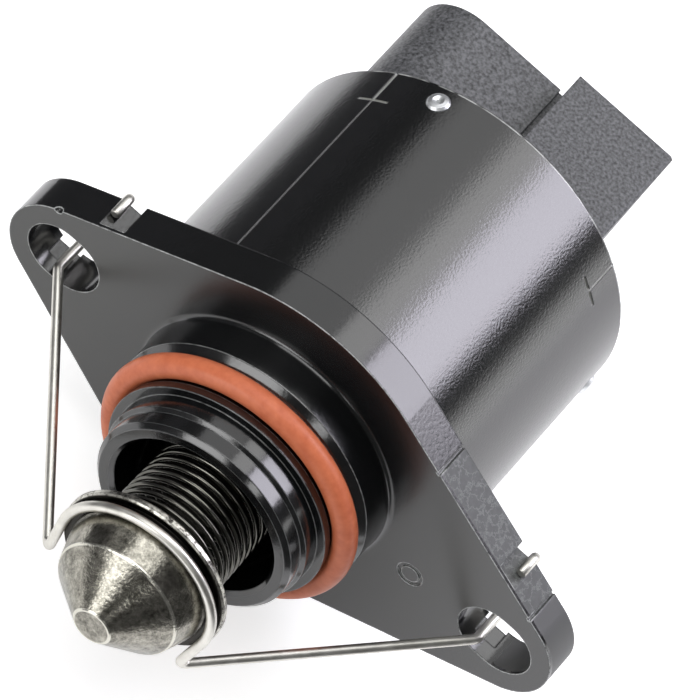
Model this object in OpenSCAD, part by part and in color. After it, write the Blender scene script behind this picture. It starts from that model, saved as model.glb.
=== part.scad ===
// Idle air control valve with its transport clip on.
// X runs along the flange, Y runs back along the valve's axis to the plug socket, Z is up.
// The origin is where the axis meets the front face of the flange.

/* [Flange] */
// Distance between the two screw slots
slot_pitch = 50; // [46:0.5:56]
// How far the middle of the slots lies to the right of the axis
slot_offset = 1.6; // [0:0.1:2.4]
// Width of a screw slot
slot_w = 6.6; // [6:0.1:7]
// Length of a screw slot
slot_l = 7.6; // [7.2:0.1:8.4]
// Radius of the round end of each ear
ear_r = 5.75; // [5.2:0.05:6.5]
// Radius of the flange round the axis
hub_r = 18.2; // [18:0.1:19]
// Thickness of the flange
flange_t = 3.9; // [3.4:0.1:4.6]
// Width of the channels that take the clip's wire
channel_w = 2.4; // [2:0.1:2.8]
// Depth of the clip channel in a slot's lower wall
channel_d = 0.6; // [0.3:0.1:0.9]
// Thickness of the lip left in front of the hooks' channels
channel_lip = 0.4; // [0.3:0.1:0.8]

/* [Nose] */
// Diameter of the boss behind the seal ring
boss_d = 26; // [25.6:0.1:27]
// Length of the boss in front of the flange
boss_l = 4.3; // [3.9:0.1:4.8]
// Radius of the fillet at the foot of the boss
boss_fillet = 0.5; // [0.3:0.1:0.8]
// Bevel on the front edge of the boss
boss_bevel = 0.7; // [0.4:0.1:1]
// Diameter of the floor of the seal groove
groove_d = 21.8; // [21.4:0.1:22.1]
// Cord diameter of the seal ring
cord_d = 2.3; // [2.1:0.1:2.5]
// Diameter of the rim that holds the seal ring from the front
rim_d = 22.6; // [22.4:0.1:23]
// Width of that rim
rim_w = 0.8; // [0.6:0.1:1]
// Diameter of the lip in front of that rim
lip_d = 20.9; // [20.5:0.1:21.4]
// Width of that lip
lip_w = 1.65; // [1.2:0.05:1.8]
// Diameter of the front of the nose
nose_d = 20.2; // [19.8:0.1:20.4]
// Length of the nose in front of the flange
nose_l = 11.4; // [10.8:0.1:12]
// Diameter of the bore in the nose
bore_d = 16.6; // [15.4:0.1:16.8]
// Depth of that bore, to the seat of the spring
bore_l = 10.8; // [10.4:0.1:11]
// Thickness of the wall between the spring's seat and the front bearing
wall_t = 3; // [2.6:0.1:3.4]
// Length of the spigot behind the flange that the can slides onto
spigot_l = 2.5; // [2.4:0.1:3]

/* [Pintle] */
// Travel of the pintle as the valve opens fully
travel = 6; // [4:0.5:6]
// Gap left in front of the nose when the valve is fully open
open_gap = 0.5; // [0.3:0.1:1]
// Diameter of the rim of the spring collar
collar_d = 16.7; // [15.6:0.1:17]
// Thickness of that rim
collar_t = 0.8; // [0.6:0.1:1.2]
// Diameter of the neck that the clip rests on
neck_d = 15.2; // [14.9:0.1:15.4]
// Length of that neck
neck_l = 0.65; // [0.5:0.05:0.9]
// Diameter of the head at its back
head_d = 14.1; // [13.6:0.1:14.3]
// Diameter of the head at the foot of its cone
cone_d = 12.2; // [11.6:0.1:12.8]
// Diameter of the flat at the tip
tip_d = 3.7; // [3:0.1:4.4]
// Length of the head behind its cone
head_l = 3.25; // [2.8:0.05:3.6]
// Length of the cone
cone_l = 3.8; // [3.4:0.1:4.2]
// Diameter of the lead screw
screw_d = 4.9; // [4.4:0.1:5]
// Distance across the two flats that stop the lead screw turning
flats_w = 3.9; // [3.5:0.1:4.1]
// How deep the lead screw sits in the head
screw_grip = 3.6; // [3:0.1:4]
// How far the lead screw reaches into the rotor at rest
screw_reach = 11.6; // [10.5:0.1:12]

/* [Pintle spring] */
// Wire diameter of the spring
spring_wire = 0.7; // [0.6:0.05:0.8]
// Diameter of the coil, measured to the middle of the wire
spring_d = 11.3; // [10.6:0.1:11.8]
// Number of turns, with a closed one at each end
spring_turns = 13; // [9:1:14]

/* [Transport clip] */
// Wire diameter of the clip
clip_wire = 0.95; // [0.8:0.05:1]
// Gap between the head and the clip's loop
clip_gap = 0.4; // [0.3:0.05:0.5]
// How far the clip's shoulders lie below the axis
clip_drop = 5.7; // [5:0.1:6.2]
// How far the loop's sides draw in at the shoulders
clip_draw = 0.5; // [0.3:0.1:0.8]
// How far the wire lies inwards of the middle of the left slot
clip_in_left = 0.1; // [0:0.1:0.4]
// How far the wire lies inwards of the middle of the right slot
clip_in_right = 1.2; // [1:0.1:1.3]
// How far each hook lies inwards of the wire in its slot
hook_in = 1; // [0.8:0.1:1.2]
// Gap between the wire and the lower wall of a slot
clip_lift = 0.8; // [0.6:0.1:1]
// How far each hook reaches forward from the back of the flange
hook_l = 2.7; // [2.2:0.1:3]
// Bend radius of the wire, measured to its middle
clip_bend = 0.9; // [0.7:0.1:1]

/* [Motor can] */
// Outside diameter of the can
can_d = 35.7; // [35.2:0.1:36]
// Wall of the can
can_wall = 0.85; // [0.6:0.05:1]
// Length of the can behind the flange
can_l = 25.9; // [25.4:0.1:27]
// Bevel on the rear edge of the can
can_bevel = 0.3; // [0.2:0.05:0.4]
// Diameter of the locking pins in the can
pin_d = 2.2; // [1.8:0.1:2.4]
// Distance of the locking pins from the can's rear edge
pin_back = 2.15; // [2:0.05:2.2]
// Angle of the first locking pin from the X axis
pin_angle = 117; // [100:1:130]
// How deep the locking pins sit in the end cap
lock_grip = 1.8; // [1.4:0.1:2]
// Width of the groove for the can's seal
seal_w = 1.1; // [0.9:0.1:1.3]
// Depth of that groove
seal_t = 0.75; // [0.6:0.05:0.8]
// Width of the scored lines of the crimped tabs
score_w = 0.3; // [0.2:0.05:0.4]
// Width of a crimped tab
tab_w = 3.2; // [2.8:0.1:3.6]
// Distance of the tabs' cross lines from the can's rear edge
tab_l = 4.2; // [3.8:0.1:4.6]

/* [Front bearing] */
// Outside diameter of the front bearing
bearing_d = 16; // [15.4:0.1:16.2]
// Bore of the front bearing
bearing_bore = 8; // [7.8:0.1:8.2]
// Width of the front bearing
bearing_w = 3.6; // [3.2:0.1:3.6]
// Diameter of its balls
ball_d = 1.9; // [1.7:0.1:2]

/* [Rotor] */
// Diameter of the magnet as a share of the bore of the can
magnet_share = 0.488; // [0.46:0.002:0.49]
// Length of the magnet
magnet_l = 16.4; // [15:0.1:16.8]
// Diameter of the nut as a share of the diameter of the magnet
nut_share = 0.566; // [0.54:0.002:0.6]
// Air gap between the magnet and the poles
air_gap = 0.3; // [0.2:0.05:0.4]
// Diameter of the steel pin in the rear bush
rear_pin_d = 4; // [3.6:0.1:4.2]
// How deep that pin sits in the nut
rear_pin_grip = 4; // [3.4:0.1:4.4]
// Length of the rear bush
bush_l = 3; // [2.6:0.1:3]
// Outside diameter of the rear bush
bush_d = 7.2; // [6.8:0.1:7.6]

/* [Stator] */
// Thickness of the sheet of the poles
pole_t = 0.8; // [0.6:0.1:0.9]
// Claws on each pole piece
claws = 6; // [4:1:6]
// Width of a claw, in degrees
claw_angle = 20; // [16:1:22]
// Wall of the bobbins
bobbin_t = 0.7; // [0.5:0.1:0.8]
// Gap between the bobbins and the can
winding_gap = 1.4; // [1.2:0.1:1.8]

/* [Plug socket] */
// Where the left side of the socket lies
socket_left = -15; // [-15.2:0.1:-14]
// Where the right side of the socket lies
socket_right = 10.4; // [9.8:0.1:10.6]
// Height of the top of the socket
socket_top = 11.3; // [11:0.1:11.5]
// Height of the bottom of the socket
socket_bottom = -4.5; // [-5.5:0.1:-4]
// Corner radius on the left
socket_round = 5; // [4:0.1:6]
// Wall of the socket
socket_wall = 1.5; // [1.2:0.1:1.8]
// Length of the socket behind the can
socket_l = 11.2; // [10:0.1:12]
// Depth of the socket
socket_depth = 9.6; // [8.6:0.1:9.8]
// Height of the latch block above the socket
latch_h = 2.5; // [2:0.1:2.7]
// Width of the latch block
latch_w = 11; // [10:0.1:12]
// How far the latch block runs on past the socket
latch_over = 0.7; // [0:0.1:1]
// Distance between the terminals
terminal_pitch = 5.2; // [4.8:0.1:5.4]
// Width of a terminal blade
terminal_w = 1.5; // [1.2:0.1:1.8]
// Thickness of a terminal blade
terminal_t = 0.8; // [0.6:0.1:1]
// Length of a terminal inside the socket
terminal_l = 7.6; // [7:0.1:8]

/* [Hidden] */
$fn = 72;
// A slack fit between parts that are pressed or moulded together
seat_gap = 0.02;
// A running gap, on the radius
run_gap = 0.05;
// The slots, left and right
slot_x = [slot_offset - slot_pitch / 2, slot_offset + slot_pitch / 2];
// The front parts, from the tip back
collar_back = -nose_l - travel - open_gap;
neck_back = collar_back - collar_t;
head_back = neck_back - neck_l;
cone_back = head_back - head_l;
tip_y = cone_back - cone_l;
spring_seat = bore_l - nose_l;
rim_back = -boss_l - cord_d - 0.15;
pocket_y = spring_seat + wall_t;
// The wire of the clip
wire_r = clip_wire / 2;
loop_r = head_d / 2 + clip_gap + wire_r;
loop_y = head_back - wire_r - seat_gap;
wire_y = flange_t + wire_r + seat_gap;
wire_z = -slot_w / 2 + clip_lift + wire_r;
wire_x = [slot_x[0] + clip_in_left, slot_x[1] - clip_in_right];
hook_x = [wire_x[0] + hook_in, wire_x[1] - hook_in];
hook_z = [edge_z(0, hook_x[0]) + wire_r / 2, edge_z(1, hook_x[1]) + wire_r / 2];
// The inside of the can
can_r = can_d / 2;
bore_r = can_r - can_wall;
magnet_d = 2 * bore_r * magnet_share;
nut_d = magnet_d * nut_share;
bobbin_d = 2 * (bore_r - winding_gap);
seal_y = flange_t + 0.6;
can_end = flange_t + can_l;
spigot_y = flange_t + spigot_l;
cap_face = can_end - 0.5;
cap_front = can_end - pin_back - pin_d / 2 - 0.4;
phase_l = (cap_front - spigot_y) / 2;
mid_y = spigot_y + phase_l;
claw_r = magnet_d / 2 + air_gap;
sleeve_r = claw_r + pole_t + 0.1;
// The rotor
nut_front = pocket_y + 0.1;
nut_shoulder = pocket_y + bearing_w;
magnet_y = spigot_y + 1.6;
nut_back = magnet_y + magnet_l + 0.6;
bush_y = nut_back + 0.8;
screw_end = pocket_y + screw_reach;
// The balls and their circle
balls = 7;
ball_r = (bearing_d + bearing_bore) / 4;
// The socket
socket_y = can_end + 0.1;
socket_back = can_end + socket_l;
socket_floor = socket_back - socket_depth;
socket_mid = (socket_left + socket_right) / 2;
terminal_z = (socket_top + socket_bottom) / 2;
terminal_front = bush_y + bush_l + 0.4;

// How far the flange's outline tapers from the hub to an ear, as a cosine
function lean(i) = (hub_r - ear_r) / abs(slot_x[i]);
// Height of the flange's upper edge at x, on the left (0) or the right (1)
function edge_z(i, x) = (hub_r - lean(i) * abs(x)) / sqrt(1 - lean(i) * lean(i));
function unit(v) = v / norm(v);

// A piece that runs back along the axis, drawn as seen from the front with Z up
module slab(y0, y1) {
    translate([0, y1, 0]) rotate([90, 0, 0]) linear_extrude(y1 - y0) children();
}

// A turned piece, from points that give the radius and the place along the axis
module turned(points) {
    rotate([-90, 0, 0]) rotate_extrude() polygon(points);
}

module ring(r_in, r_out, y0, y1) {
    slab(y0, y1) difference() {
        circle(r_out);
        circle(r_in);
    }
}

// What lies round the axis at an angle from X towards Z
module round_axis(angle) {
    rotate([0, -angle, 0]) children();
}

module slot_shape(w, l) {
    square([l - w, w], center = true);
    for (s = [-1, 1])
        translate([s * (l - w) / 2, 0]) circle(d = w);
}

// Half of the flange: an ear, and the straight edges from it to the round middle
module ear_shape(i) {
    side = slot_x[i] < 0 ? -1 : 1;
    c = side * lean(i);
    s = sqrt(1 - lean(i) * lean(i));
    translate([slot_x[i], 0]) circle(ear_r);
    polygon([
        [hub_r * c, hub_r * s],
        [slot_x[i] + ear_r * c, ear_r * s],
        [slot_x[i] + ear_r * c, -ear_r * s],
        [hub_r * c, -hub_r * s]
    ]);
}

// A scored line across the flange's upper edge
module edge_score(i, x) {
    turn = acos(lean(i)) - 90;
    translate([x, flange_t / 2, edge_z(i, x)])
        rotate([0, (x < 0 ? 1 : -1) * turn, 0])
            cube([0.35, flange_t + 1, 0.5], center = true);
}

module nose_housing() {
    nose_r = nose_d / 2;
    lip_back = rim_back - rim_w;
    color("#3c3f40") difference() {
        union() {
            slab(0, flange_t) {
                circle(hub_r);
                ear_shape(0);
                ear_shape(1);
            }
            turned([
                [0, 0.5], [boss_d / 2 + boss_fillet, 0.5], [boss_d / 2 + boss_fillet, 0],
                for (a = [0:15:90])
                    [boss_d / 2 + boss_fillet - boss_fillet * sin(a), -boss_fillet + boss_fillet * cos(a)],
                [boss_d / 2, -boss_l + boss_bevel], [boss_d / 2 - boss_bevel, -boss_l],
                [groove_d / 2, -boss_l], [groove_d / 2, rim_back], [rim_d / 2, rim_back],
                [rim_d / 2, lip_back], [lip_d / 2, lip_back],
                [lip_d / 2, lip_back - lip_w], [nose_r, lip_back - lip_w - 0.3],
                [nose_r, -nose_l + 0.45], [nose_r - 0.45, -nose_l], [0, -nose_l]
            ]);
            ring(bearing_d / 2 - 0.5, bore_r - seat_gap, flange_t - 0.3, spigot_y);
        }
        turned([
            [0, -nose_l - 1], [bore_d / 2 + 0.4, -nose_l - 1], [bore_d / 2 + 0.4, -nose_l],
            [bore_d / 2, -nose_l + 0.4], [bore_d / 2, spring_seat], [0, spring_seat]
        ]);
        slab(spring_seat - 1, pocket_y + 1) circle(bearing_bore / 2 + 0.6);
        slab(pocket_y, spigot_y + 1) circle(bearing_d / 2 + seat_gap);
        ring(bore_r - seal_t, bore_r + 1, seal_y, seal_y + seal_w);
        for (i = [0, 1]) {
            slab(-1, flange_t + 1) translate([slot_x[i], 0]) slot_shape(slot_w, slot_l);
            clip_channels(i);
        }
        for (x = [slot_x[1] / 2 + 0.2, slot_x[1] + 1])
            edge_score(1, x);
        translate([hub_r - 0.9, 0, -1]) rotate([90, 0, 0]) difference() {
            cylinder(d = 2.6, h = 0.4, center = true);
            cylinder(d = 1.8, h = 1, center = true);
        }
        translate([slot_x[0] - 2.9, 0, ear_r - 0.7]) sphere(d = 0.9);
    }
}

// The channels for the clip: one in a slot's lower wall, one in the flange's upper edge
module clip_channels(i) {
    inward = i == 0 ? 1 : -1;
    translate([wire_x[i] - inward * 0.5 - channel_w / 2, 1.7, -slot_w / 2 - channel_d])
        cube([channel_w, flange_t, slot_w / 2]);
    translate([
        hook_x[i] - channel_w / 2 + inward * (channel_w / 2 - 0.7 * clip_wire),
        channel_lip, hook_z[i] - wire_r - run_gap
    ])
        cube([channel_w, flange_t, hub_r]);
}

module seal_ring() {
    color("#cf6f4e") translate([0, rim_back + seat_gap + cord_d / 2, 0])
        rotate([-90, 0, 0]) rotate_extrude()
            translate([(groove_d + cord_d) / 2 + seat_gap, 0]) circle(d = cord_d);
}

// The lead screw's section: round with two flats
module screw_shape(gap) {
    intersection() {
        circle(screw_d / 2 + gap);
        square([screw_d + 1, flats_w + 2 * gap], center = true);
    }
}

module guide_bush() {
    color("#b08a4a") difference() {
        slab(spring_seat, pocket_y - 0.2) circle(bearing_bore / 2 + 0.6 - seat_gap);
        slab(spring_seat - 1, pocket_y + 1) screw_shape(run_gap);
    }
}

module motor_can() {
    color("#16181a") difference() {
        turned([
            [bore_r, flange_t + seat_gap], [can_r, flange_t + seat_gap], [can_r, can_end - can_bevel],
            [can_r - can_bevel, can_end], [bore_r, can_end]
        ]);
        for (k = [0:2])
            round_axis(pin_angle + 120 * k) translate([can_r, can_end - pin_back, 0])
                rotate([0, 90, 0]) cylinder(d = pin_d + 2 * seat_gap, h = 4, center = true);
        for (k = [0:3])
            round_axis(45 + 90 * k) tab_score();
        round_axis(135) translate([can_r, (flange_t + can_end) / 2, 0])
            cube([0.2, can_l + 1, 0.12], center = true);
    }
}

// The scored outline of a crimped tab
module tab_score() {
    translate([can_r, can_end - tab_l / 2, 0]) cube([0.36, tab_l, score_w], center = true);
    translate([can_r + 0.2, can_end - tab_l, 0]) cube([0.8, score_w, tab_w], center = true);
}

module can_seal() {
    color("#2b2b2b")
        ring(bore_r - seal_t + seat_gap, bore_r - seat_gap, seal_y + run_gap, seal_y + seal_w - run_gap);
}

// A pin with a domed and dimpled head, pressed through the can into the end cap
module lock_pin(k) {
    top = can_wall + lock_grip;
    color("#d8dadc") round_axis(pin_angle + 120 * k) translate([bore_r - lock_grip, can_end - pin_back, 0])
        rotate([0, 90, 0]) rotate_extrude() polygon([
            [0, 0], [pin_d / 2, 0], [pin_d / 2, top], [pin_d / 2 - 0.2, top + 0.25],
            [pin_d / 4, top + 0.35], [0.2, top + 0.15], [0, top + 0.15]
        ]);
}

// The outline of the socket, drawn in by a margin on every side
module socket_shape(m) {
    r = [socket_round - m, max(1.2 - m, 0.5)];
    x = [socket_left + m, socket_right - m];
    z = [socket_bottom + m, socket_top - m];
    translate([x[0] + r[0], z[0]]) square([x[1] - r[1] - x[0] - r[0], z[1] - z[0]]);
    translate([x[0], z[0] + r[0]]) square([x[1] - x[0] - r[1], z[1] - z[0] - 2 * r[0]]);
    translate([x[1] - r[1] - 0.1, z[0] + r[1]]) square([r[1] + 0.1, z[1] - z[0] - 2 * r[1]]);
    for (i = [0, 1], v = [0, 1])
        translate([x[i] + (i == 0 ? 1 : -1) * r[i], z[v] + (v == 0 ? 1 : -1) * r[i]]) circle(r[i]);
}

module latch_shape() {
    x = socket_right - latch_w;
    z = socket_top + latch_h;
    polygon([
        [x, socket_top - 2], [x, z], [socket_right - 0.3, z], [socket_right, z - 0.3],
        [socket_right, socket_top - 2]
    ]);
}

module end_cap() {
    color("#47494b") difference() {
        union() {
            slab(cap_front, cap_face) circle(bore_r - seat_gap);
            slab(bush_y, cap_front + 0.1) circle(bush_d / 2 + 1.6);
            intersection() {
                slab(cap_face - 0.1, socket_y + 0.1) {
                    socket_shape(0);
                    latch_shape();
                }
                slab(cap_front, socket_back) circle(bore_r - 0.1);
            }
            slab(socket_y, socket_back) socket_shape(0);
            slab(socket_y, socket_back + latch_over) latch_shape();
        }
        slab(socket_floor, socket_back + 2) socket_shape(socket_wall);
        // The tunnel for the plug's latch, and the relief beside the latch block
        translate([socket_right - latch_w + 2.2, socket_floor + 3, socket_top - 0.2])
            cube([latch_w - 4.4, socket_l, latch_h - 1]);
        translate([socket_right - latch_w - 0.5, socket_y, socket_top - 0.5])
            cube([0.5, socket_l + 1, 1]);
        slab(bush_y - 1, bush_y + bush_l + 0.05) circle(bush_d / 2 + seat_gap);
        for (k = [1:4])
            terminal_blade(k, seat_gap);
        for (k = [0:2])
            round_axis(pin_angle + 120 * k) translate([bore_r - lock_grip - run_gap, can_end - pin_back, 0])
                rotate([0, 90, 0]) cylinder(d = pin_d + 2 * seat_gap, h = 4);
    }
}

module rear_bush() {
    color("#a8845a") ring(rear_pin_d / 2 + run_gap, bush_d / 2, bush_y, bush_y + bush_l);
}

// A dished spring washer that keeps the rotor forward
module preload_washer() {
    r = rear_pin_d / 2 + 0.2;
    s = nut_d / 2 - 0.2;
    color("#9a9c9e") turned([
        [r, bush_y - 0.32], [s, nut_back + 0.1], [s, nut_back + 0.34], [r, bush_y - 0.08]
    ]);
}

module terminal_blade(k, gap) {
    w = terminal_w + 2 * gap;
    t = terminal_t + 2 * gap;
    translate([socket_mid + (k - 2.5) * terminal_pitch - w / 2, terminal_front - gap, terminal_z - t / 2])
        cube([w, socket_floor + terminal_l - 1 - terminal_front + gap, t]);
}

// A blade with a tapered end
module terminal(k) {
    color("#c9cdd0") {
        terminal_blade(k, 0);
        translate([socket_mid + (k - 2.5) * terminal_pitch, 0, terminal_z]) rotate([0, 90, 0])
            linear_extrude(terminal_w, center = true) polygon([
                [-terminal_t / 2, socket_floor + terminal_l - 1],
                [-terminal_t / 4, socket_floor + terminal_l],
                [terminal_t / 4, socket_floor + terminal_l],
                [terminal_t / 2, socket_floor + terminal_l - 1]
            ]);
    }
}

// The points of a bend of radius r at b, on the way from a to c
function bend(a, b, c, r, n = 5) =
    let(u = unit(a - b), w = unit(c - b), half = acos(u * w) / 2,
        o = b + unit(u + w) * r / sin(half),
        p = unit(b + u * r / tan(half) - o), q = unit(b + w * r / tan(half) - o), turn = 180 - 2 * half)
    [for (i = [0:n]) o + r * (sin(turn * (1 - i / n)) * p + sin(turn * i / n) * q) / sin(turn)];

// One leg of the clip, from the end of its hook to the loop
function clip_leg(i) =
    let(side = i == 0 ? -1 : 1,
        shoulder = [side * (loop_r - clip_draw), loop_y, -clip_drop],
        reach = norm([shoulder[0], shoulder[2]]),
        touch = atan2(clip_drop, loop_r - clip_draw) - acos(loop_r / reach),
        tip = [hook_x[i], wire_y - hook_l, hook_z[i]],
        top = [hook_x[i], wire_y, hook_z[i]],
        slot_back = [wire_x[i], wire_y, wire_z],
        slot_front = [wire_x[i], 0.3, wire_z],
        side_point = [side * loop_r * cos(touch), loop_y, -loop_r * sin(touch)])
    concat(
        [tip], bend(tip, top, slot_back, clip_bend), bend(top, slot_back, slot_front, clip_bend),
        bend(slot_back, slot_front, shoulder, clip_bend), bend(slot_front, shoulder, side_point, clip_bend),
        [for (a = [touch:-10:-89]) [side * loop_r * cos(a), loop_y, -loop_r * sin(a)]]
    );

// A round wire along a path: a many-sided tube whose sides are carried on from ring to ring
module wire(path, r, sides, first) {
    n = len(path);
    heading = [for (i = [0:n - 1]) unit(path[min(i + 1, n - 1)] - path[max(i - 1, 0)])];
    across = [
        for (i = 0, v = first; i < n; i = i + 1, v = i < n ? unit(v - (v * heading[i]) * heading[i]) : v)
            unit(v - (v * heading[i]) * heading[i])
    ];
    points = [
        for (i = [0:n - 1], k = [0:sides - 1])
            let(a = 360 * k / sides)
            path[i] + r * (cos(a) * across[i] + sin(a) * cross(heading[i], across[i]))
    ];
    faces = [
        [for (k = [0:sides - 1]) k],
        for (i = [0:n - 2], k = [0:sides - 1])
            let(a = i * sides + k, b = i * sides + (k + 1) % sides)
            [a, a + sides, b + sides, b],
        [for (k = [sides - 1:-1:0]) (n - 1) * sides + k]
    ];
    polyhedron(points, faces);
}

module transport_clip() {
    left = clip_leg(0);
    right = clip_leg(1);
    top = [[0, loop_y, loop_r]];
    path = concat(left, top, [for (i = [len(right) - 1:-1:0]) right[i]]);
    color("#dfe1e2") wire(path, wire_r, 8, [1, 0, 0]);
}

module pintle_spring() {
    step = 16;
    closed = spring_wire + 0.04;
    length = spring_seat - collar_back - spring_wire - 2 * run_gap;
    pitch = (length - 2 * closed) / (spring_turns - 2);
    path = [
        for (i = [0:step * spring_turns])
            let(t = i / step, a = 360 * t,
                h = closed * min(t, 1) + pitch * min(max(t - 1, 0), spring_turns - 2)
                    + closed * max(t - spring_turns + 1, 0))
            [spring_d / 2 * cos(a), collar_back + spring_wire / 2 + run_gap + h, spring_d / 2 * sin(a)]
    ];
    color("#3a3c3e") wire(path, spring_wire / 2, 6, [1, 0, 0]);
}

// A sheet pole piece: a disc, and claws bent off its bore towards the other piece of its pair
module pole_piece(disc_y, claw_y, angle, rim_y) {
    lo = min(disc_y[0], claw_y);
    hi = max(disc_y[1], claw_y);
    ring(claw_r, bore_r - seat_gap, disc_y[0], disc_y[1]);
    intersection() {
        ring(claw_r, claw_r + pole_t, lo, hi);
        for (k = [0:claws - 1])
            slab(lo - 1, hi + 1) rotate(angle + 360 / claws * k)
                polygon([
                    [0, 0], 20 * [cos(claw_angle / 2), -sin(claw_angle / 2)], [20, 0],
                    20 * [cos(claw_angle / 2), sin(claw_angle / 2)]
                ]);
    }
    if (rim_y != 0)
        ring(bore_r - pole_t, bore_r - seat_gap, min(rim_y, disc_y[0]), max(rim_y, disc_y[1]));
}

module front_pole_cup() {
    color("#8d9092")
        pole_piece([spigot_y + seat_gap, spigot_y + pole_t], mid_y - pole_t - 1.2, 0,
            mid_y - pole_t - seat_gap);
}

module front_pole_plate() {
    color("#8d9092")
        pole_piece([mid_y - pole_t, mid_y - seat_gap / 2], spigot_y + pole_t + 1.2, 180 / claws, 0);
}

module rear_pole_plate() {
    color("#8d9092")
        pole_piece([mid_y + seat_gap / 2, mid_y + pole_t], cap_front - pole_t - 1.2, 90 / claws, 0);
}

module rear_pole_cup() {
    color("#8d9092")
        pole_piece([cap_front - pole_t, cap_front - seat_gap], mid_y + pole_t + 1.2, 270 / claws,
            mid_y + pole_t + seat_gap);
}

module bobbin(y0, y1) {
    s = sleeve_r;
    e = bobbin_d / 2;
    t = bobbin_t;
    color("#d9d4c4") turned([
        [s, y0], [e, y0], [e, y0 + t], [s + t, y0 + t], [s + t, y1 - t], [e, y1 - t], [e, y1], [s, y1]
    ]);
}

module front_bobbin() {
    bobbin(spigot_y + pole_t + 0.1, mid_y - pole_t - 0.1);
}

module rear_bobbin() {
    bobbin(mid_y + pole_t + 0.1, cap_front - pole_t - 0.1);
}

module coil(y0, y1) {
    color("#a8552a")
        ring(sleeve_r + bobbin_t + seat_gap, bobbin_d / 2 - 0.4,
            y0 + bobbin_t + seat_gap, y1 - bobbin_t - seat_gap);
}

module front_coil() {
    coil(spigot_y + pole_t + 0.1, mid_y - pole_t - 0.1);
}

module rear_coil() {
    coil(mid_y + pole_t + 0.1, cap_front - pole_t - 0.1);
}

// The track that the balls run in
module ball_track() {
    translate([0, pocket_y + bearing_w / 2, 0]) rotate([-90, 0, 0]) rotate_extrude()
        translate([ball_r, 0]) circle(ball_d / 2 + run_gap);
}

module bearing_outer_race() {
    color("#c4c8ca") difference() {
        ring(ball_r + ball_d * 0.4, bearing_d / 2, pocket_y + seat_gap, pocket_y + bearing_w);
        ball_track();
    }
}

module bearing_inner_race() {
    color("#c4c8ca") difference() {
        ring(bearing_bore / 2 + 0.01, ball_r - ball_d * 0.4, pocket_y + seat_gap, pocket_y + bearing_w);
        ball_track();
    }
}

module ball(k) {
    color("#dfe2e4") round_axis(360 / balls * k) translate([ball_r, pocket_y + bearing_w / 2, 0])
        sphere(d = ball_d);
}

module ball_cage() {
    mid = pocket_y + bearing_w / 2;
    half = ball_d / 2 + 0.3;
    color("#b99b5a") difference() {
        ring(ball_r - ball_d * 0.3, ball_r + ball_d * 0.3, mid - half, mid + half);
        for (k = [1:balls])
            round_axis(360 / balls * k) translate([ball_r, mid, 0]) rotate([0, 90, 0])
                cylinder(d = ball_d + 2 * run_gap, h = ball_d, center = true);
    }
}

module rotor_nut() {
    color("#e2ddd0") difference() {
        turned([
            [0, nut_front], [bearing_bore / 2, nut_front], [bearing_bore / 2, nut_shoulder + seat_gap],
            [nut_d / 2, nut_shoulder + seat_gap], [nut_d / 2, nut_back], [0, nut_back]
        ]);
        slab(nut_front - 1, nut_back - rear_pin_grip) circle(screw_d / 2 + run_gap);
        slab(nut_back - rear_pin_grip - 0.1, nut_back + 1) circle(rear_pin_d / 2 + seat_gap);
    }
}

module rotor_magnet() {
    color("#4a4644") ring(nut_d / 2 + seat_gap, magnet_d / 2, magnet_y, magnet_y + magnet_l);
}

module rotor_rear_pin() {
    r = rear_pin_d / 2;
    e = bush_y + bush_l - 0.2;
    s = nut_back - rear_pin_grip + 0.1;
    color("#bfc3c6") turned([[0, s], [r, s], [r, e - 0.3], [r - 0.3, e], [0, e]]);
}

module pintle_head() {
    color("#77786c") difference() {
        turned([
            [0, head_back], [head_d / 2 - 0.15, head_back], [head_d / 2, head_back - 0.15],
            [cone_d / 2, cone_back], [tip_d / 2, tip_y], [0, tip_y]
        ]);
        slab(head_back - screw_grip, head_back + 1) circle(screw_d / 2 + seat_gap);
    }
}

module spring_collar() {
    color("#b9bcbe") difference() {
        turned([
            [0, head_back + seat_gap], [neck_d / 2, head_back + seat_gap], [neck_d / 2, neck_back],
            [collar_d / 2 - 0.2, neck_back], [collar_d / 2, neck_back + 0.2],
            [collar_d / 2, collar_back - 0.2], [collar_d / 2 - 0.2, collar_back],
            [spring_d / 2 - spring_wire, collar_back],
            [spring_d / 2 - spring_wire - 0.3, collar_back + 1], [0, collar_back + 1]
        ]);
        slab(head_back - 1, collar_back + 2) circle(screw_d / 2 + seat_gap);
    }
}

// Round where it sits in the head and in the nut, with two flats where the guide bush holds it
module lead_screw() {
    color("#a9adb0") difference() {
        turned([
            [0, head_back - screw_grip + 0.1], [screw_d / 2, head_back - screw_grip + 0.1],
            [screw_d / 2, screw_end - 0.4], [screw_d / 2 - 0.4, screw_end], [0, screw_end]
        ]);
        slab(collar_back + 1.4, pocket_y + 0.6) difference() {
            square([screw_d + 2, screw_d + 2], center = true);
            square([screw_d + 4, flats_w], center = true);
        }
    }
}

nose_housing();
seal_ring();
guide_bush();
motor_can();
can_seal();
lock_pin(0);  // lock_pin_1
lock_pin(1);  // lock_pin_2
lock_pin(2);  // lock_pin_3
end_cap();
rear_bush();
preload_washer();
terminal(1);  // terminal_1
terminal(2);  // terminal_2
terminal(3);  // terminal_3
terminal(4);  // terminal_4
transport_clip();
pintle_spring();
front_pole_cup();
front_pole_plate();
rear_pole_plate();
rear_pole_cup();
front_bobbin();
rear_bobbin();
front_coil();
rear_coil();
bearing_outer_race();
bearing_inner_race();
ball_cage();
ball(1);  // ball_1
ball(2);  // ball_2
ball(3);  // ball_3
ball(4);  // ball_4
ball(5);  // ball_5
ball(6);  // ball_6
ball(7);  // ball_7
rotor_nut();
rotor_magnet();
rotor_rear_pin();
pintle_head();
spring_collar();
lead_screw();
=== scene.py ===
import math

import bmesh
import bpy
import numpy as np
from mathutils import Matrix, Vector


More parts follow.
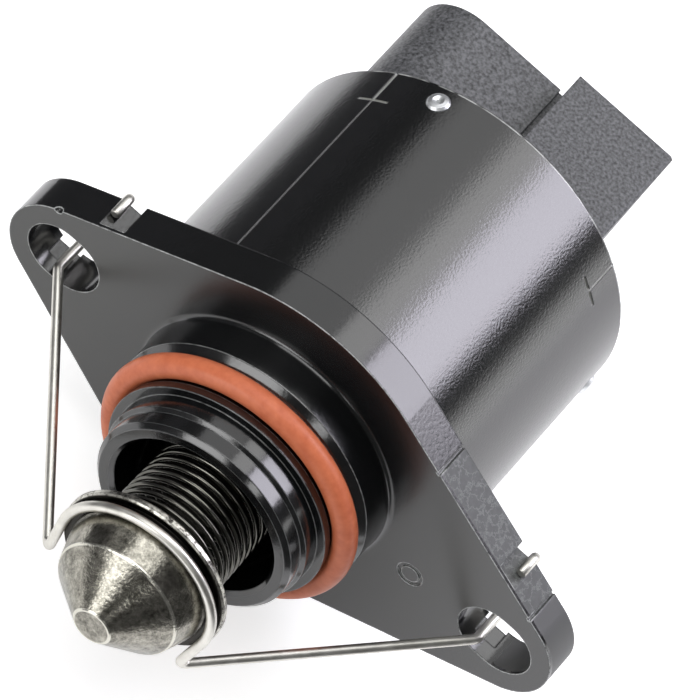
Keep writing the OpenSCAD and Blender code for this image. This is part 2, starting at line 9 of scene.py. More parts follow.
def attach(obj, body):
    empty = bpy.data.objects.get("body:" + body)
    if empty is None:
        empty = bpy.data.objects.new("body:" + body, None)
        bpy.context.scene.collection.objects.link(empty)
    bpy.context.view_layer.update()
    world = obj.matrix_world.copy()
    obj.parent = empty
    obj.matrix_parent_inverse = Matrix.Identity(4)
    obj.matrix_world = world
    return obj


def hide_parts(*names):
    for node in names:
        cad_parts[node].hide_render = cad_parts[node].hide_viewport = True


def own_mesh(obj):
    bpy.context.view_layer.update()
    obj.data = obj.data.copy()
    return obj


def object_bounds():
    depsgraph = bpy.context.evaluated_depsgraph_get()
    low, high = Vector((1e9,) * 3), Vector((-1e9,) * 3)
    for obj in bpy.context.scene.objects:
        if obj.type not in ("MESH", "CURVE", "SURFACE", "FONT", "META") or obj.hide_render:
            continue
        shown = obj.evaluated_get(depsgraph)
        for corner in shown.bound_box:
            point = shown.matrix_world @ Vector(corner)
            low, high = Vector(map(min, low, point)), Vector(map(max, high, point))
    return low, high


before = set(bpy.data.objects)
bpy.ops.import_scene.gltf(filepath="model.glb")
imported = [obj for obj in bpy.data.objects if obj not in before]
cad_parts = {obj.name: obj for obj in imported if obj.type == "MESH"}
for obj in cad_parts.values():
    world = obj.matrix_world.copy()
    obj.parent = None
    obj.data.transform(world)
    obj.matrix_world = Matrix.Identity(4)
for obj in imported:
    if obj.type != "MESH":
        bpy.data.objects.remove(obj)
cad_box = [list(corner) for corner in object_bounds()]


# The studio
# A white table with the valve lying on it, and the camera above and in front, on the pintle's left.
# A long lens stands far back, so the valve's sides run almost parallel. Softboxes stand round it.
def linear(hex_colour):
    """A colour written as sRGB hex, in the linear values that Blender works with."""
    parts = [int(hex_colour[i:i + 2], 16) / 255 for i in (1, 3, 5)]
    return [p / 12.92 if p <= 0.04045 else ((p + 0.055) / 1.055) ** 2.4 for p in parts] + [1.0]


def node(material, kind, inputs=None, **settings):
    """Adds a node with its settings. An input is a value, or a socket to link from."""
    made = material.node_tree.nodes.new(kind)
    for name, value in settings.items():
        setattr(made, name, value)
    for name, value in (inputs or {}).items():
        if isinstance(value, bpy.types.NodeSocket):
            material.node_tree.links.new(value, made.inputs[name])
        else:
            made.inputs[name].default_value = value
    return made


def material_called(name):
    made = bpy.data.materials.new(name)
    made.use_nodes = True
    made.node_tree.nodes.clear()
    return made


camera = bpy.data.objects.new("camera", bpy.data.cameras.new("camera"))
bpy.context.scene.collection.objects.link(camera)
bpy.context.scene.camera = camera
# Which way the picture's right and down point in the valve's frame, and where its middle lies.
right = Vector((0.7476, 0.5543, 0.3658)).normalized()
down = Vector((0.6638, -0.6062, -0.4380))
down = (down - down.dot(right) * right).normalized()
ahead = right.cross(down)
middle_right_mm, middle_down_mm, distance_mm = 7.384, -7.554, 744
place = (right * middle_right_mm + down * middle_down_mm - ahead * distance_mm) / 1000
camera.matrix_world = Matrix((
    (right.x, -down.x, -ahead.x, place.x),
    (right.y, -down.y, -ahead.y, place.y),
    (right.z, -down.z, -ahead.z, place.z),
    (0, 0, 0, 1),
))
camera.data.sensor_fit = "HORIZONTAL"
camera.data.sensor_width = 36
camera.data.lens = 441.06
camera.data.clip_start = 0.05
camera.data.clip_end = 20


def softbox(name, direction, size, level, colour="#ffffff"):
    """A lamp half a metre away. The level is the brightness of its face, where 1 is white."""
    away = 0.5
    lamp = bpy.data.lights.new(name, "AREA")
    lamp.shape = "RECTANGLE"
    lamp.size, lamp.size_y = size
    lamp.energy = level * math.pi * size[0] * size[1]
    lamp.color = linear(colour)[:3]
    holder = bpy.data.objects.new(name, lamp)
    holder.visible_camera = False
    bpy.context.scene.collection.objects.link(holder)
    direction = Vector(direction).normalized()
    side = Vector((0, 1, 0)).cross(direction).normalized()
    top = direction.cross(side)
    holder.matrix_world = Matrix((
        (side.x, top.x, direction.x, direction.x * away),
        (side.y, top.y, direction.y, direction.y * away),
        (side.z, top.z, direction.z, direction.z * away),
        (0, 0, 0, 1),
    ))


softbox("main softbox", (0.470, 0.57, 0.672), (0.29, 0.26), 6.2, "#f6f3ff")
softbox("upper softbox", (0.043, 0.57, 0.819), (0.15, 0.26), 2.6)
softbox("left softbox", (-0.385, 0.57, 0.724), (0.286, 0.26), 1.0)
softbox("low softbox", (0.820, 0.57, 0.05), (0.15, 0.26), 1.8)
softbox("overhead softbox", (-0.22, -0.12, 1), (0.42, 0.32), 2.6)
softbox("front softbox", (-0.484, -0.813, 0.325), (0.42, 0.2), 4.2)
softbox("front glint", (0.333, -0.799, 0.501), (0.09, 0.07), 4.0)
softbox("left fill", (-0.88, 0.12, 0.46), (0.3, 0.2), 0.5)
softbox("right fill", (0.96, 0.16, 0.2), (0.25, 0.2), 0.4)

# The table glows to the camera, so that shadows on it stay faint, and less in what mirrors it.
glow_seen, glow_mirrored, table_gap = 0.62, 0.45, 0.0002
table_white = material_called("table, painted white")
path = node(table_white, "ShaderNodeLightPath")
mirrored = node(table_white, "ShaderNodeMath", {
    0: path.outputs["Is Glossy Ray"], 1: path.outputs["Is Transmission Ray"]}, operation="MAXIMUM")
mirrored = node(table_white, "ShaderNodeMath", {
    0: mirrored.outputs[0], 1: glow_mirrored}, operation="MULTIPLY")
glow = node(table_white, "ShaderNodeMath", {
    0: path.outputs["Is Camera Ray"], 1: glow_seen}, operation="MULTIPLY")
glow = node(table_white, "ShaderNodeMath", {0: glow.outputs[0], 1: mirrored.outputs[0]}, operation="MAXIMUM")
paint = node(table_white, "ShaderNodeBsdfPrincipled", {
    "Base Color": linear("#f2f2f2"), "Roughness": 0.8, "Emission Color": (1, 1, 1, 1),
    "Emission Strength": glow.outputs[0]})
node(table_white, "ShaderNodeOutputMaterial", {"Surface": paint.outputs[0]})
grid = bmesh.new()
bmesh.ops.create_grid(grid, x_segments=1, y_segments=1, size=3)
table_mesh = bpy.data.meshes.new("table")
grid.to_mesh(table_mesh)
table = bpy.data.objects.new("table", table_mesh)
table.location = (0, 0, cad_box[0][2] - table_gap)
bpy.context.scene.collection.objects.link(table)
table.data.materials.append(table_white)

# Two grey cards that stand on the table and show only as dark bands in what mirrors them.
card_grey = material_called("card, grey")
felt = node(card_grey, "ShaderNodeBsdfPrincipled", {"Base Color": linear("#5a5a5a"), "Roughness": 0.9})
node(card_grey, "ShaderNodeOutputMaterial", {"Surface": felt.outputs[0]})
low = table.location.z
for name, x, y, top in (
        ("left card", -0.07, (-0.12, 0.22), 0.034), ("right card", 0.044, (-0.14, -0.006), 0.022)):
    sheet = bpy.data.meshes.new(name)
    sheet.from_pydata([(x, y[0], low), (x, y[1], low), (x, y[1], top), (x, y[0], top)], [], [(0, 1, 2, 3)])
    sheet.materials.append(card_grey)
    card = bpy.data.objects.new(name, sheet)
    card.visible_camera = card.visible_diffuse = card.visible_shadow = False
    bpy.context.scene.collection.objects.link(card)

# A dim room, which the camera sees as white.
room_light = 0.08
world = bpy.data.worlds.new("room")
bpy.context.scene.world = world
world.use_nodes = True
world.node_tree.nodes.clear()
path = node(world, "ShaderNodeLightPath")
sky = node(world, "ShaderNodeMath", {0: path.outputs["Is Camera Ray"], 1: room_light}, operation="MAXIMUM")
sky = node(world, "ShaderNodeBackground", {"Color": (1, 1, 1, 1), "Strength": sky.outputs[0]})
node(world, "ShaderNodeOutputWorld", {"Surface": sky.outputs[0]})


# Nose housing
# One moulding in black glass-filled polyester: the flange, the boss and the bored nose. It came glossy
# from a polished tool. The flange's upper edge was rubbed rough where the hooks slide on.
def dress(material, cad_node):
    """Gives a piece of the CAD its material."""
    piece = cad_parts[cad_node]
    piece.data.materials.clear()
    piece.data.materials.append(material)


def grain(material, grain_mm, depth_mm, edge_mm=0.12, detail=3.0, stretch=(1, 1, 1)):
    """Random grain with its size and depth in real millimetres, on edges rounded by edge_mm."""
    where = node(material, "ShaderNodeTexCoord")
    drawn = node(material, "ShaderNodeMapping", {"Vector": where.outputs["Object"], "Scale": stretch})
    speck = node(material, "ShaderNodeTexNoise", {
        "Vector": drawn.outputs[0], "Scale": 1000 / grain_mm, "Detail": detail})
    edge = node(material, "ShaderNodeBevel", {"Radius": edge_mm / 1000}, samples=6)
    bump = node(material, "ShaderNodeBump", {
        "Height": speck.outputs[0], "Distance": depth_mm / 1000, "Strength": 1.0, "Normal": edge.outputs[0]})
    return speck, bump


def zone(material, edges, *shares):
    """The shares, kept to one zone of the piece. Each edge of the zone is a length in metres, and the
    places in millimetres where the zone begins and where it is full."""
    for length, begin_mm, full_mm in edges:
        ramp = node(material, "ShaderNodeMapRange", {
            "Value": length, "From Min": begin_mm / 1000, "From Max": full_mm / 1000},
            interpolation_type="SMOOTHSTEP")
        shares += (ramp.outputs[0],)
    product = shares[0]
    for share in shares[1:]:
        product = node(material, "ShaderNodeMath", {0: product, 1: share}, operation="MULTIPLY").outputs[0]
    return product


def painted(material, colour, *coats):
    """Lays coats over a colour, one after another. A coat is its share of the surface and its colour."""
    for share, coat in coats:
        colour = node(material, "ShaderNodeMix", {
            "Factor": share, "A": colour, "B": coat}, data_type="RGBA").outputs[2]
    return colour


def edge_share(material, width_mm):
    """1 on the edges of the piece, 0 from width_mm away. Rounding an edge by that width turns the surface
    there, and the two limits are the cosines of that turn."""
    flat_cosine, edge_cosine = 0.985, 0.88
    flat = node(material, "ShaderNodeNewGeometry")
    edge = node(material, "ShaderNodeBevel", {"Radius": width_mm / 1000}, samples=8)
    turn = node(material, "ShaderNodeVectorMath", {0: edge.outputs[0], 1: flat.outputs["Normal"]},
                operation="DOT_PRODUCT")
    return node(material, "ShaderNodeMapRange", {
        "Value": turn.outputs["Value"], "From Min": flat_cosine, "From Max": edge_cosine}).outputs[0]


polyester = material_called("polyester, moulded black")
speck, bump = grain(polyester, 0.35, 0.006, 0.2)
where = node(polyester, "ShaderNodeTexCoord")
axes = node(polyester, "ShaderNodeSeparateXYZ", {0: where.outputs["Object"]})
across, along, high = axes.outputs[0], axes.outputs[1], axes.outputs[2]
mottle_mm, crack_mm, crack_half_mm, crack_bend_mm = 0.7, 1.3, 0.091, 2.2
mottle = node(polyester, "ShaderNodeTexNoise", {
    "Vector": where.outputs["Object"], "Scale": 1000 / mottle_mm, "Detail": 5.0, "Roughness": 0.7})
patchy = node(polyester, "ShaderNodeMapRange", {
    "Value": mottle.outputs[0], "From Min": 0.3, "From Max": 0.55})
# The rubbed edge is crazed: dull grey, with fine crooked lines that are paler.
bent = node(polyester, "ShaderNodeVectorMath", {
    0: mottle.outputs[1], 1: [crack_bend_mm / 1000] * 3, 2: where.outputs["Object"]},
    operation="MULTIPLY_ADD")
crack = node(polyester, "ShaderNodeTexVoronoi", {
    "Vector": bent.outputs[0], "Scale": 1000 / crack_mm}, feature="DISTANCE_TO_EDGE")
crack = node(polyester, "ShaderNodeMapRange", {
    "Value": crack.outputs[0], "From Min": 0.0, "From Max": crack_half_mm / crack_mm})
crazed = painted(polyester, linear("#161717"), (mottle.outputs[0], linear("#555857")))
crazed = painted(polyester, linear("#6e7170"), (crack.outputs[0], crazed))
edge_zone = zone(polyester, [(across, 13.2, 13.7), (across, 28.2, 27.6), (high, 3.6, 4.2), (along, 0.25, 0.45)])
far_end = zone(polyester, [(across, 27.6, 28.2), (along, 0.25, 0.45)])
# The ears' front is painted paler in patches. Sharp edges are painted pale, partly as wear and partly as a
# painted highlight where their rounding would catch the light; patchy, and fainter on the nose.
off_axis = node(polyester, "ShaderNodeMath", {0: across}, operation="ABSOLUTE")
ear = zone(polyester, [(off_axis.outputs[0], 15, 20), (along, 0.1, -0.1)], mottle.outputs[0])
nose_edge_share = node(polyester, "ShaderNodeMapRange", {
    "Value": along, "From Min": -5.8 / 1000, "From Max": -4.5 / 1000, "To Min": 0.25, "To Max": 1.0})
# The pale edges: part wear, part painted highlight.
worn_and_highlit = zone(polyester, [(along, 1.2, 0.7)],
            edge_share(polyester, 0.22), patchy.outputs[0], nose_edge_share.outputs[0])
tone = painted(polyester, linear("#0e0f10"), (ear, linear("#2f302b")), (edge_zone, crazed),
               (far_end, linear("#3c3d3d")), (worn_and_highlit, linear("#c6c9c8")))
# The tool's gloss, then the dull rubbed edge, then the front face, which is a little less glossy.
rough = node(polyester, "ShaderNodeMath", {0: edge_zone, 1: far_end}, operation="MAXIMUM")
shine = node(polyester, "ShaderNodeMapRange", {"Value": speck.outputs[0], "To Min": 0.1, "To Max": 0.2})
shine = node(polyester, "ShaderNodeMix", {0: rough.outputs[0], 2: shine.outputs[0], 3: 0.5})
face = zone(polyester, [(along, -0.15, -0.05), (along, 0.15, 0.05)])
shine = node(polyester, "ShaderNodeMix", {0: face, 2: shine.outputs[0], 3: 0.27})
body = node(polyester, "ShaderNodeBsdfPrincipled", {
    "Base Color": tone, "Roughness": shine.outputs[0], "IOR": 1.75, "Normal": bump.outputs[0]})
node(polyester, "ShaderNodeOutputMaterial", {"Surface": body.outputs[0]})
dress(polyester, "nose_housing")

# Seal ring
# An orange fluorosilicone cord ring in the groove of the nose, smooth from its mould and a little oily.
silicone = material_called("silicone, moulded orange")
speck, bump = grain(silicone, 0.9, 0.006)
tone = painted(silicone, linear("#bb5a38"), (speck.outputs[0], linear("#e3855e")))
body = node(silicone, "ShaderNodeBsdfPrincipled", {
    "Base Color": tone, "Roughness": 0.42, "IOR": 1.43, "Normal": bump.outputs[0]})
node(silicone, "ShaderNodeOutputMaterial", {"Surface": body.outputs[0]})
dress(silicone, "seal_ring")


# Guide bush and rear bush
# Sintered bronze, dull gold and finely pitted. The guide bush is pressed into the wall behind the spring,
# with two flats for the lead screw, and the rear bush sits in the end cap.
def bare_metal(name, colour, roughness, *grain_settings):
    """A metal of one colour. Its roughness runs between two values with its grain."""
    made = material_called(name)
    speck, bump = grain(made, *grain_settings)
    shine = node(made, "ShaderNodeMapRange", {
        "Value": speck.outputs[0], "To Min": roughness[0], "To Max": roughness[1]})
    body = node(made, "ShaderNodeBsdfPrincipled", {
        "Base Color": colour, "Metallic": 1.0, "Roughness": shine.outputs[0], "Normal": bump.outputs[0]})
    node(made, "ShaderNodeOutputMaterial", {"Surface": body.outputs[0]})
    return made


bronze = bare_metal("bronze, sintered", linear("#8f6a3a"), (0.35, 0.55), 0.12, 0.01)
dress(bronze, "guide_bush")
dress(bronze, "rear_bush")


# Motor can
# A deep-drawn steel can with a gloss black coat, rolled over at the back. The coat's orange peel breaks up
# the edges of the long highlight. The scored lines of the tabs show bare metal, paler at the back as a
# painted glint, and the rolled rear edge carries a thin painted highlight in patches.
def from_axis(material):
    """Where a point is, how far from the valve's axis and where along it, in metres."""
    where = node(material, "ShaderNodeTexCoord").outputs["Object"]
    spokes = node(material, "ShaderNodeVectorMath", {0: where, 1: (1, 0, 1)}, operation="MULTIPLY")
    radius = node(material, "ShaderNodeVectorMath", {0: spokes.outputs[0]}, operation="LENGTH")
    axes = node(material, "ShaderNodeSeparateXYZ", {0: where})
    return where, radius.outputs["Value"], axes.outputs[1]


coated_steel = material_called("steel, drawn and coated black")
speck, bump = grain(coated_steel, 0.2, 0.018, 0.15, 4.0, (1, 0.7, 1))
where, radius, along = from_axis(coated_steel)
# Bare steel in the score lines, which cut through the coat. Their paler colour towards the back is a painted
# glint.
bare_and_glinting = zone(coated_steel, [(radius, 17.80, 17.74), (along, 29.5, 29.4)])
scored = painted(coated_steel, linear("#2e2f2d"),
                 (zone(coated_steel, [(along, 22, 26)]), linear("#a3a49f")))
# A thin painted highlight along the rolled rear edge, broken into patches.
patch_mm = 1.5
patchy = node(coated_steel, "ShaderNodeTexNoise", {"Vector": where, "Scale": 1000 / patch_mm})
patchy = node(coated_steel, "ShaderNodeMapRange", {
    "Value": patchy.outputs[0], "From Min": 0.3, "From Max": 0.55})
rear_edge_highlight = zone(coated_steel, [(along, 29.34, 29.42), (along, 29.6, 29.5)], patchy.outputs[0])
tone = painted(coated_steel, linear("#0b0c0d"), (bare_and_glinting, scored), (rear_edge_highlight, linear("#b4b6b4")))
shine = node(coated_steel, "ShaderNodeMapRange", {"Value": speck.outputs[0], "To Min": 0.12, "To Max": 0.24})
body = node(coated_steel, "ShaderNodeBsdfPrincipled", {
    "Base Color": tone, "Roughness": shine.outputs[0], "IOR": 1.85, "Normal": bump.outputs[0]})
node(coated_steel, "ShaderNodeOutputMaterial", {"Surface": body.outputs[0]})
dress(coated_steel, "motor_can")

# Can seal
# A flat black nitrile ring between the can and the housing's spigot, hidden once the can is on.
nitrile = material_called("nitrile rubber, moulded")
bump = grain(nitrile, 0.3, 0.01)[1]
body = node(nitrile, "ShaderNodeBsdfPrincipled", {
    "Base Color": linear("#1c1c1c"), "Roughness": 0.7, "Normal": bump.outputs[0]})
node(nitrile, "ShaderNodeOutputMaterial", {"Surface": body.outputs[0]})
dress(nitrile, "can_seal")

# Locking pins
# Three bright steel pins pressed through the can into the end cap, with dimpled heads.
pin_steel = bare_metal("steel, cold headed", linear("#e6e8ea"), (0.32, 0.5), 0.2, 0.008, 0.08)
for k in (1, 2, 3):
    dress(pin_steel, "lock_pin_%d" % k)

# End cap and plug socket
# One moulding in dark grey glass-filled nylon. The tool was spark-eroded, so its skin is grained.
nylon = material_called("nylon, spark-eroded grain")
speck, bump = grain(nylon, 0.3, 0.045, 0.2, 4.0)
pale = node(nylon, "ShaderNodeMapRange", {"Value": speck.outputs[0], "From Min": 0.3, "From Max": 0.7})
tone = painted(nylon, linear("#262728"), (pale.outputs[0], linear("#6f7073")))
body = node(nylon, "ShaderNodeBsdfPrincipled", {
    "Base Color": tone, "Roughness": 0.4, "IOR": 1.53, "Normal": bump.outputs[0]})
node(nylon, "ShaderNodeOutputMaterial", {"Surface": body.outputs[0]})
dress(nylon, "end_cap")

# Terminals
# Four brass blades stamped and tinned, moulded into the end cap. The tin gives them a soft silver shine.
tinned_brass = bare_metal("brass, stamped and tinned", linear("#c4c2ba"), (0.2, 0.4), 0.3, 0.004)
for k in (1, 2, 3, 4):
    dress(tinned_brass, "terminal_%d" % k)

# Transport clip
# Bright spring wire, bent on a jig: a loop behind the pintle's head, a leg to each screw slot, up the back
# of the flange and over its upper edge, where its hook ends. Friction holds it.
clip_wire_d, clip_bend_r = 0.95, 0.9
loop_r, loop_y, loop_drop, loop_draw = 7.925, -19.845, 5.7, 0.5
hook_tip_y, flange_back_y, flange_front_y, slot_wire_z = 1.695, 4.395, 0.3, -2.025


def bend(start, corner, end, steps=10):
    """The round bend of the wire at a corner, from the side of start to the side of end."""
    u, w = (start - corner) / np.linalg.norm(start - corner), (end - corner) / np.linalg.norm(end - corner)
    half = math.acos(float(u @ w)) / 2
    centre = corner + (u + w) / np.linalg.norm(u + w) * clip_bend_r / math.sin(half)
    p = corner + u * clip_bend_r / math.tan(half) - centre
    q = corner + w * clip_bend_r / math.tan(half) - centre
    turn = math.pi - 2 * half
    return [centre + (math.sin(turn * (1 - i / steps)) * p + math.sin(turn * i / steps) * q) / math.sin(turn)
            for i in range(steps + 1)]


def clip_leg(side, wire_x, hook_x, hook_z):
    """One half of the clip, from the tip of its hook to the foot of the loop."""
    shoulder = np.array([side * (loop_r - loop_draw), loop_y, -loop_drop])
    reach = math.hypot(shoulder[0], shoulder[2])
    touch = math.atan2(loop_drop, loop_r - loop_draw) - math.acos(loop_r / reach)
    tip, top = np.array([hook_x, hook_tip_y, hook_z]), np.array([hook_x, flange_back_y, hook_z])
    slot_back = np.array([wire_x, flange_back_y, slot_wire_z])
    slot_front = np.array([wire_x, flange_front_y, slot_wire_z])
    loop = [np.array([side * loop_r * math.cos(a), loop_y, -loop_r * math.sin(a)])
            for a in np.linspace(touch, -math.pi / 2, 48)]
    return ([tip] + bend(tip, top, slot_back) + bend(top, slot_back, slot_front)
            + bend(slot_back, slot_front, shoulder) + bend(slot_front, shoulder, loop[0]) + loop)


def round_wire(name, points_mm, radius_mm, sides):
    """A round wire along points in millimetres, with the corners of its cut ends broken."""
    broken_share, broken_mm = 0.72, 0.14
    points = np.array(points_mm)
    ahead = np.gradient(points, axis=0)
    ahead /= np.linalg.norm(ahead, axis=1)[:, None]
    across = np.array([1.0, 0.0, 0.0])
    last = len(points) - 1
    stations = ([(0, 0.0, broken_share), (0, broken_mm, 1.0)] + [(i, 0.0, 1.0) for i in range(1, last)]
                + [(last, -broken_mm, 1.0), (last, 0.0, broken_share)])
    mesh = bmesh.new()
    rings = []
    for i, shift, share in stations:
        across = across - (across @ ahead[i]) * ahead[i]
        across /= np.linalg.norm(across)
        other = np.cross(ahead[i], across)
        middle = points[i] + shift * ahead[i]
        rings.append([mesh.verts.new((middle + share * radius_mm * (
            math.cos(a) * across + math.sin(a) * other)) / 1000)
            for a in np.linspace(0, 2 * math.pi, sides, endpoint=False)])
    for near, far in zip(rings, rings[1:]):
        for k in range(sides):
            mesh.faces.new((near[k], near[(k + 1) % sides], far[(k + 1) % sides], far[k])).smooth = True
    mesh.faces.new(rings[0][::-1])
    mesh.faces.new(rings[-1])
    bmesh.ops.recalc_face_normals(mesh, faces=mesh.faces)
    data = bpy.data.meshes.new(name)
    mesh.to_mesh(data)
    piece = bpy.data.objects.new(name, data)
    bpy.context.scene.collection.objects.link(piece)
    return piece


left_leg = clip_leg(side=-1, wire_x=-23.3, hook_x=-22.3, hook_z=7.720)
right_leg = clip_leg(side=1, wire_x=25.4, hook_x=24.4, hook_z=7.909)
clip = round_wire("formed_clip", left_leg + right_leg[-2::-1], clip_wire_d / 2, sides=20)
spring_steel = material_called("spring steel, drawn bright")
where = node(spring_steel, "ShaderNodeTexCoord")
drawn_mm = 1.2
speck = node(spring_steel, "ShaderNodeTexNoise", {
    "Vector": where.outputs["Object"], "Scale": 1000 / drawn_mm, "Detail": 5.0})
shine = node(spring_steel, "ShaderNodeMapRange", {"Value": speck.outputs[0], "To Min": 0.3, "To Max": 0.46})
tone = painted(spring_steel, linear("#c4c2ba"), (speck.outputs[0], linear("#efede6")))
body = node(spring_steel, "ShaderNodeBsdfPrincipled", {
    "Base Color": tone, "Metallic": 1.0, "Roughness": shine.outputs[0]})
node(spring_steel, "ShaderNodeOutputMaterial", {"Surface": body.outputs[0]})
clip.data.materials.append(spring_steel)
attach(clip, "housing")
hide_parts("transport_clip")

# Pintle spring
# A compression spring in dark oiled wire between the housing's wall and the collar, with a closed turn at
# each end. It shortens as the lead screw draws the pintle in.
coil_r, wire_d, turns, steps_a_turn = 5.65, 0.55, 19, 48
low_y, high_y, seat_gap, turn_gap, travel = -17.9, -0.6, 0.05, 0.04, 6
closed = wire_d + turn_gap
pitch = (high_y - low_y - wire_d - 2 * seat_gap - 2 * closed) / (turns - 2)
spring_path = []
for i in range(steps_a_turn * turns + 1):
    t = i / steps_a_turn
    y = closed * min(t, 1) + pitch * min(max(t - 1, 0), turns - 2) + closed * max(t - turns + 1, 0)
    angle = 2 * math.pi * t
    middle_y = low_y + wire_d / 2 + seat_gap + y
    spring_path.append((coil_r * math.cos(angle), middle_y, coil_r * math.sin(angle)))
spring = round_wire("coil_spring", spring_path, wire_d / 2, sides=12)
oiled_wire = material_called("spring steel, oil tempered")
where = node(oiled_wire, "ShaderNodeTexCoord")
oil_mm = 0.8
speck = node(oiled_wire, "ShaderNodeTexNoise", {
    "Vector": where.outputs["Object"], "Scale": 1000 / oil_mm, "Detail": 4.0})
shine = node(oiled_wire, "ShaderNodeMapRange", {"Value": speck.outputs[0], "To Min": 0.14, "To Max": 0.3})
body = node(oiled_wire, "ShaderNodeBsdfPrincipled", {
    "Base Color": linear("#65645f"), "Metallic": 1.0, "Roughness": shine.outputs[0]})
node(oiled_wire, "ShaderNodeOutputMaterial", {"Surface": body.outputs[0]})
spring.data.materials.append(oiled_wire)
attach(spring, "housing")
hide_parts("pintle_spring")
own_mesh(spring)

# Poles
# Claw poles and cups pressed from soft iron sheet, hidden in the can. The dished washer that keeps the
# rotor forward is pressed from sheet too.
soft_iron = bare_metal("soft iron, pressed", linear("#8d9092"), (0.35, 0.55), 0.4, 0.006)
for name in ("front_pole_cup", "front_pole_plate", "rear_pole_plate", "rear_pole_cup", "preload_washer"):
    dress(soft_iron, name)

# Bobbins and the rotor's nut
# Natural acetal mouldings: slippery, off-white and slightly waxy.
acetal = material_called("acetal, moulded natural")
bump = grain(acetal, 0.8, 0.006)[1]
body = node(acetal, "ShaderNodeBsdfPrincipled", {
    "Base Color": linear("#d9d4c4"), "Roughness": 0.4, "Subsurface Weight": 0.1, "Subsurface Scale": 0.001,
    "Normal": bump.outputs[0]})
node(acetal, "ShaderNodeOutputMaterial", {"Surface": body.outputs[0]})
for name in ("front_bobbin", "rear_bobbin", "rotor_nut"):
    dress(acetal, name)

# Coils
# Enamelled copper wire, wound in rings round the axis. Its turns are a bump, drawn 1.57 mm apart so that
# they show, where real wire of this size lies about 0.25 mm apart.
turn_mm, wave_unit = math.pi / 2, 20
enamelled_copper = material_called("copper wire, enamelled")
where = node(enamelled_copper, "ShaderNodeTexCoord")
turns_along = node(enamelled_copper, "ShaderNodeTexWave", {
    "Vector": where.outputs["Object"], "Scale": 2 * math.pi * 1000 / turn_mm / wave_unit,
    "Distortion": 0.3}, bands_direction="Y", wave_profile="SIN")
bump = node(enamelled_copper, "ShaderNodeBump", {"Height": turns_along.outputs[1], "Distance": 0.0001})
body = node(enamelled_copper, "ShaderNodeBsdfPrincipled", {
    "Base Color": linear("#a8552a"), "Metallic": 1.0, "Roughness": 0.3, "Normal": bump.outputs[0]})
node(enamelled_copper, "ShaderNodeOutputMaterial", {"Surface": body.outputs[0]})
for name in ("front_coil", "rear_coil"):
    dress(enamelled_copper, name)

# Front bearing
# Ground steel races and balls, close to a mirror, and a pressed brass cage, which is softer in its shine.
ground_steel = bare_metal("bearing steel, ground", linear("#c4c8ca"), (0.1, 0.2), 0.1, 0.001)
for name in ["bearing_outer_race", "bearing_inner_race"] + ["ball_%d" % k for k in range(1, 8)]:
    dress(ground_steel, name)
cage_brass = bare_metal("brass, pressed", linear("#b99b5a"), (0.25, 0.4), 0.3, 0.003)
dress(cage_brass, "ball_cage")

# Magnet
# A ring of sintered ferrite, ground on the outside: dark, dull and slightly grainy.
ferrite = material_called("ferrite, sintered")
bump = grain(ferrite, 0.25, 0.01)[1]
body = node(ferrite, "ShaderNodeBsdfPrincipled", {
    "Base Color": linear("#3b3836"), "Metallic": 0.3, "Roughness": 0.5, "Normal": bump.outputs[0]})
node(ferrite, "ShaderNodeOutputMaterial", {"Surface": body.outputs[0]})
dress(ferrite, "rotor_magnet")

# Lead screw and rear pin
# Turned steel. The tool leaves fine rings round it, so the grain is drawn out round the axis.
turned_grain = (0.5, 0.004, 0.1, 4.0, (0.3, 2, 0.3))
turned_steel = bare_metal("steel, turned", linear("#8b8a83"), (0.14, 0.32), *turned_grain)
for name in ("lead_screw", "rotor_rear_pin"):
    dress(turned_steel, name)

# Spring collar
# Turned steel, pressed on the screw behind the head. It is coloured dark, with its outer edge pale in
# patches.
dark_turned_steel = material_called("steel, turned, dark with a pale rim")
speck, bump = grain(dark_turned_steel, *turned_grain)
where, radius = from_axis(dark_turned_steel)[:2]
mottle_mm = 0.9
mottle = node(dark_turned_steel, "ShaderNodeTexNoise", {
    "Vector": where, "Scale": 1000 / mottle_mm, "Detail": 6.0, "Roughness": 0.8})
mottle = node(dark_turned_steel, "ShaderNodeMapRange", {
    "Value": mottle.outputs[0], "From Min": 0.4, "From Max": 0.55})
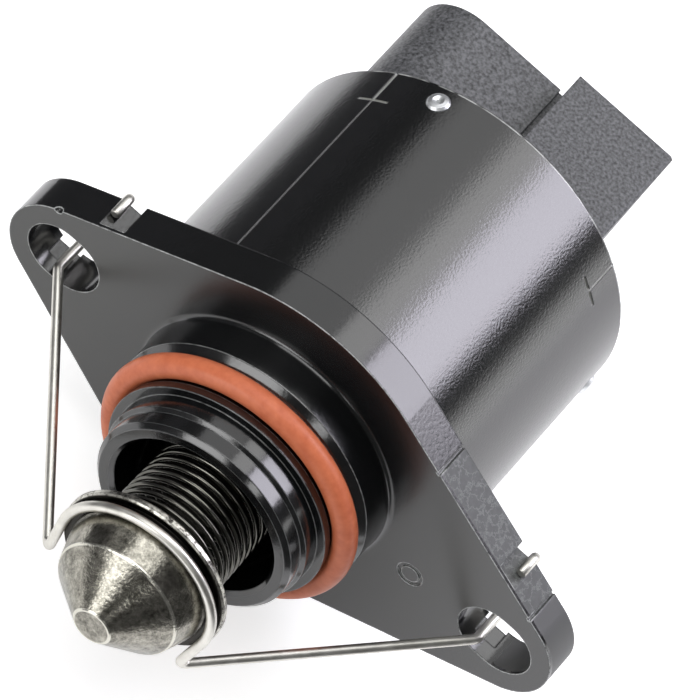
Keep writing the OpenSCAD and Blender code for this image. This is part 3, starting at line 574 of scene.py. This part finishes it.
# The outer edge is coloured pale in patches.
pale_rim = zone(dark_turned_steel, [(radius, 8.15, 8.25)], mottle.outputs[0])
tone = painted(dark_turned_steel, linear("#34322f"), (pale_rim, linear("#c9c7be")))
shine = node(dark_turned_steel, "ShaderNodeMapRange", {"Value": speck.outputs[0], "To Min": 0.2, "To Max": 0.4})
body = node(dark_turned_steel, "ShaderNodeBsdfPrincipled", {
    "Base Color": tone, "Metallic": 1.0, "Roughness": shine.outputs[0], "Normal": bump.outputs[0]})
node(dark_turned_steel, "ShaderNodeOutputMaterial", {"Surface": body.outputs[0]})
dress(dark_turned_steel, "spring_collar")

# Pintle head
# Sintered steel, steam-treated to a grey olive skin. The press leaves it speckled. The rim at the cone's
# foot and the rim of the flat tip are painted bright, as painted highlights where those edges catch the
# light.
sintered_steel = material_called("steel, sintered and steam treated")
speck, bump = grain(sintered_steel, 0.3, 0.025, 0.06, 6.0)
where, radius, along = from_axis(sintered_steel)
# Painted highlights: pale bands on the rim at the cone's foot and round the flat tip.
foot = zone(sintered_steel, [(along, -22.76, -22.68), (along, -22.44, -22.52)])
rim = zone(sintered_steel, [(radius, 1.66, 1.74), (radius, 2.02, 1.94)])
edge_zone = node(sintered_steel, "ShaderNodeMath", {0: foot, 1: rim}, operation="MAXIMUM")
blotch_mm = 0.9
blotch = node(sintered_steel, "ShaderNodeTexNoise", {
    "Vector": where, "Scale": 1000 / blotch_mm, "Detail": 8.0, "Roughness": 0.85})
pale = node(sintered_steel, "ShaderNodeMapRange", {
    "Value": blotch.outputs[0], "From Min": 0.35, "From Max": 0.63})
tone = painted(sintered_steel, linear("#494740"), (pale.outputs[0], linear("#b2afa4")),
               (edge_zone.outputs[0], linear("#cfcdc2")))
shine = node(sintered_steel, "ShaderNodeMapRange", {
    "Value": speck.outputs[0], "To Min": 0.14, "To Max": 0.3})
body = node(sintered_steel, "ShaderNodeBsdfPrincipled", {
    "Base Color": tone, "Metallic": 1.0, "Roughness": shine.outputs[0], "Normal": bump.outputs[0]})
node(sintered_steel, "ShaderNodeOutputMaterial", {"Surface": body.outputs[0]})
dress(sintered_steel, "pintle_head")

bpy.context.scene.view_settings.view_transform = "Standard"
